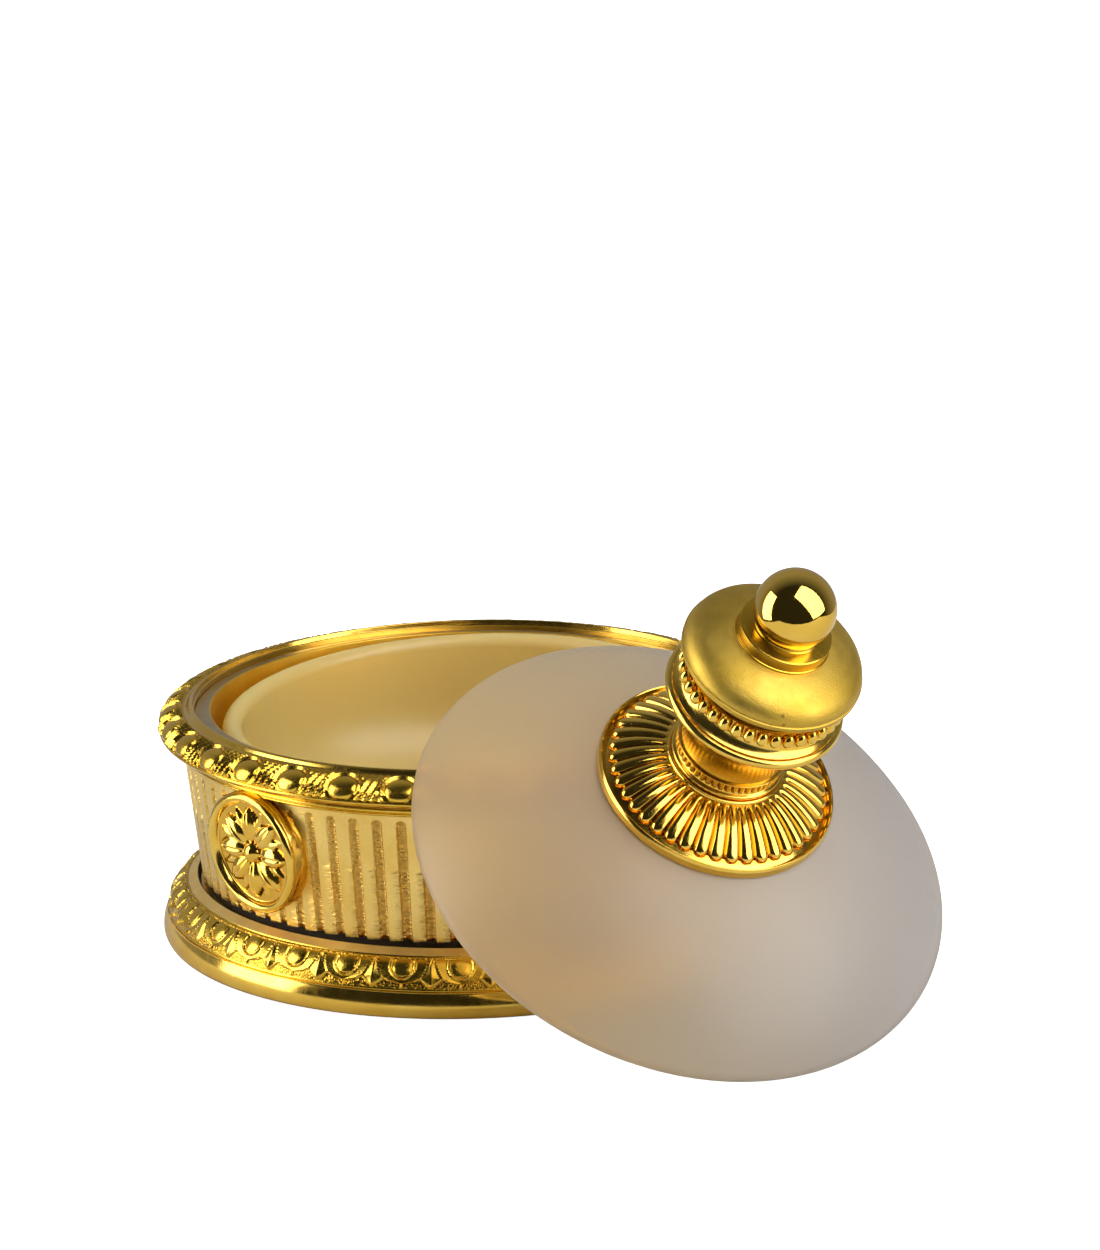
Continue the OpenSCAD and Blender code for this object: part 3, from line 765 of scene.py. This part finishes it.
def add_steps():
    """The two-step seat under the ball."""
    outline = rounded([(BORE_R, 62.02), (8.6, 62.02, 0.05), (8.55, 62.3, 0.1), (8.36, 62.38, 0.03),
                       (8.36, 64.3, 0.1), (8.15, 64.45, 0.08), (6.3, 64.8, 0.2), (6.0, 64.95, 0.1),
                       (5.95, 65.18, 0.05), (BORE_R, 65.18), (BORE_R, 62.02)])
    return keep(lathe("stepped_ring", outline, "brushed", LEAN), "lid", "gold_polished", "ball_collar")


def add_ball():
    """A mirror-bright ball, cut flat where it sits."""
    low = math.degrees(math.asin((BALL_LOW - BALL_Z) / BALL_R))
    outline = [(0, BALL_LOW)] + arc((0, BALL_Z), BALL_R, low, 89.9, 72) + [(0, BALL_Z + BALL_R)]
    return keep(lathe("ball", outline, "mirror", LEAN, closed=False), "lid", "gold_polished", "ball_finial")


PEARLS, PEARL_AT, PEARL_R, PEARL_LIFT = 38, 14.45, 1.12, 0.08
PEARL_TALL, PEARL_TAPER = 1.65, 1.25
PEARL_COLUMNS, PEARL_ROWS = 20, 12
CHANNEL_R, CHANNEL_LOW, CHANNEL_HIGH, CHANNEL_COLUMNS = 13.9, 49.65, 52.35, 192


def add_pearls():
    """A plain channel with a row of drops, point up, standing half out of its wall."""
    ring = np.arange(CHANNEL_COLUMNS) * TAU / CHANNEL_COLUMNS
    corners = [(BORE_R, CHANNEL_LOW), (CHANNEL_R, CHANNEL_LOW),
               (CHANNEL_R, CHANNEL_HIGH), (BORE_R, CHANNEL_HIGH)]
    verts = [(radius * math.cos(t), radius * math.sin(t), z) for radius, z in corners for t in ring]
    faces = []
    for i in range(len(corners)):
        faces += join(i * CHANNEL_COLUMNS, (i + 1) % len(corners) * CHANNEL_COLUMNS, CHANNEL_COLUMNS)
    # painted shade: the channel gets relief 0.1, so gold() colours it darker; the drops get 1.0
    high = [0.1] * len(verts)
    turn = np.arange(PEARL_COLUMNS) * TAU / PEARL_COLUMNS
    tilt = np.linspace(-math.pi / 2, math.pi / 2, PEARL_ROWS + 1)[1:-1]
    for p in range(PEARLS):
        way = TAU * p / PEARLS
        centre = np.array([PEARL_AT * math.cos(way), PEARL_AT * math.sin(way),
                           CHANNEL_LOW + PEARL_R + PEARL_LIFT])
        start = len(verts)
        verts.append(tuple(centre - (0, 0, PEARL_R)))
        for t in tilt:
            wide, tall = math.cos(t), math.sin(t)
            if t > 0:
                wide, tall = wide ** PEARL_TAPER, PEARL_TALL * tall
            verts += [tuple(centre + PEARL_R * np.array([wide * math.cos(k), wide * math.sin(k), tall]))
                      for k in turn]
        verts.append(tuple(centre + (0, 0, PEARL_TALL * PEARL_R)))
        last = len(verts) - 1
        rows = list(range(start + 1, last, PEARL_COLUMNS))
        faces += join(start, rows[0], PEARL_COLUMNS, lone_a=True)
        for a, b in zip(rows, rows[1:]):
            faces += join(a, b, PEARL_COLUMNS)
        faces += join(rows[-1], last, PEARL_COLUMNS, lone_b=True)
        high += [1.0] * (len(verts) - start)
    piece = build_mesh("pearl_band", verts, faces, LEAN, "polished",
                       {"relief": high, "ground": [0.0] * len(verts)}, 50)
    return keep(piece, "lid", "gold_polished", "bead_ring")


add_foot()
add_drum()
add_rim()
add_cup()
add_medallions()
add_liner()
add_lid()
add_rosette()
add_collar()
add_neck()
add_saucer()
add_cap()
add_steps()
add_ball()
add_pearls()

# ---------------------------------------------------------------- CAD nodes that stay
KEPT = {"medallion_pins": "steel", "base_plate": "steel", "centre_screw": "steel", "lock_washer": "steel",
        "felt_pad": "felt", "liner_pads": "clear", "upper_gasket": "rubber", "lower_gasket": "rubber",
        "threaded_stud": "steel", "washer": "steel", "cap_nut": "mirror"}
for node, material in KEPT.items():
    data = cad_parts[node].data
    data.materials.clear()
    data.materials.append(MATERIALS[material])


# ---------------------------------------------------------------- floor, world and lights
FAR = 6.0
TABLE_LEFT, TABLE_RIGHT, TABLE_FRONT = -0.14, 0.40, -0.26
FLOOR_SHEETS = {"floor_table": (TABLE_LEFT, TABLE_RIGHT, TABLE_FRONT, FAR),
                "floor_front": (-FAR, FAR, -FAR, TABLE_FRONT),
                "floor_left": (-FAR, TABLE_LEFT, TABLE_FRONT, FAR),
                "floor_right": (TABLE_RIGHT, FAR, TABLE_FRONT, FAR)}
WHITE = (1, 1, 1, 1)
ROOM_DARK, ROOM_PALE = 0.025, 0.30


def add_floor():
    """A white ground. Only the table top on it shows in reflections; beyond its edges is a dark room."""
    n = Nodes("floor_white")
    tone = n.mix(n.noise(6, 2), "Fac", (0.62, 0.62, 0.60), (0.60, 0.60, 0.58))
    n.link(tone, "Result", n.shader, "Base Color")
    n.set(Roughness=0.75, Specular_IOR_Level=0.2, Emission_Color=WHITE)
    n.link(n.add("ShaderNodeLightPath"), "Is Camera Ray", n.shader, "Emission Strength")
    for name, (left, right, near, back) in FLOOR_SHEETS.items():
        mesh = bpy.data.meshes.new(name)
        corners = [(left, near, 0), (right, near, 0), (right, back, 0), (left, back, 0)]
        mesh.from_pydata(corners, [], [(0, 1, 2, 3)])
        mesh.materials.append(n.mat)
        floor = bpy.data.objects.new(name, mesh)
        scene.collection.objects.link(floor)
        floor.visible_glossy = name == "floor_table"


def softbox(name, place, aim, size, power, roll=0.0):
    """A rectangular area light of size (x, y) in metres, rolled by degrees about its aim."""
    data = bpy.data.lights.new(name, "AREA")
    data.shape = "RECTANGLE"
    data.size, data.size_y = size
    data.energy = power
    light = bpy.data.objects.new(name, data)
    direction = Vector(aim) - Vector(place)
    turn = direction.to_track_quat("-Z", "Y").to_matrix().to_4x4()
    light.matrix_world = Matrix.Translation(place) @ turn @ Matrix.Rotation(math.radians(roll), 4, "Z")
    scene.collection.objects.link(light)
    return light


def add_world():
    """A pale wall behind the object and a dark room in front of it; the camera itself sees white."""
    world = bpy.data.worlds.new("studio")
    scene.world = world
    world.use_nodes = True
    tree = world.node_tree
    back = tree.nodes["Background"]
    coords = tree.nodes.new("ShaderNodeTexCoord")
    split = tree.nodes.new("ShaderNodeSeparateXYZ")
    tree.links.new(coords.outputs["Generated"], split.inputs[0])
    ramp = tree.nodes.new("ShaderNodeMapRange")
    for key, value in (("From Min", -0.15), ("From Max", 0.6),
                       ("To Min", ROOM_DARK), ("To Max", ROOM_PALE)):
        ramp.inputs[key].default_value = value
    tree.links.new(split.outputs["Y"], ramp.inputs["Value"])
    path = tree.nodes.new("ShaderNodeLightPath")
    pick = tree.nodes.new("ShaderNodeMix")
    tree.links.new(path.outputs["Is Camera Ray"], pick.inputs[FACTOR])
    tree.links.new(ramp.outputs["Result"], pick.inputs[2])
    pick.inputs[3].default_value = 1.0
    tree.links.new(pick.outputs[0], back.inputs["Strength"])
    back.inputs["Color"].default_value = WHITE


add_floor()
add_world()
softbox("left_box", (-1.0, -0.10, 0.24), (0, 0, 0.05), (0.62, 1.15), 10)
softbox("right_box", (0.68, -0.62, 0.56), (0.02, 0, 0.05), (0.90, 1.7), 18, 24)
top = softbox("top_box", (0.0, 0.1, 1.4), (0, 0.1, 0), (1.2, 1.2), 9)
top.visible_glossy = False
scene.view_settings.view_transform = "Standard"
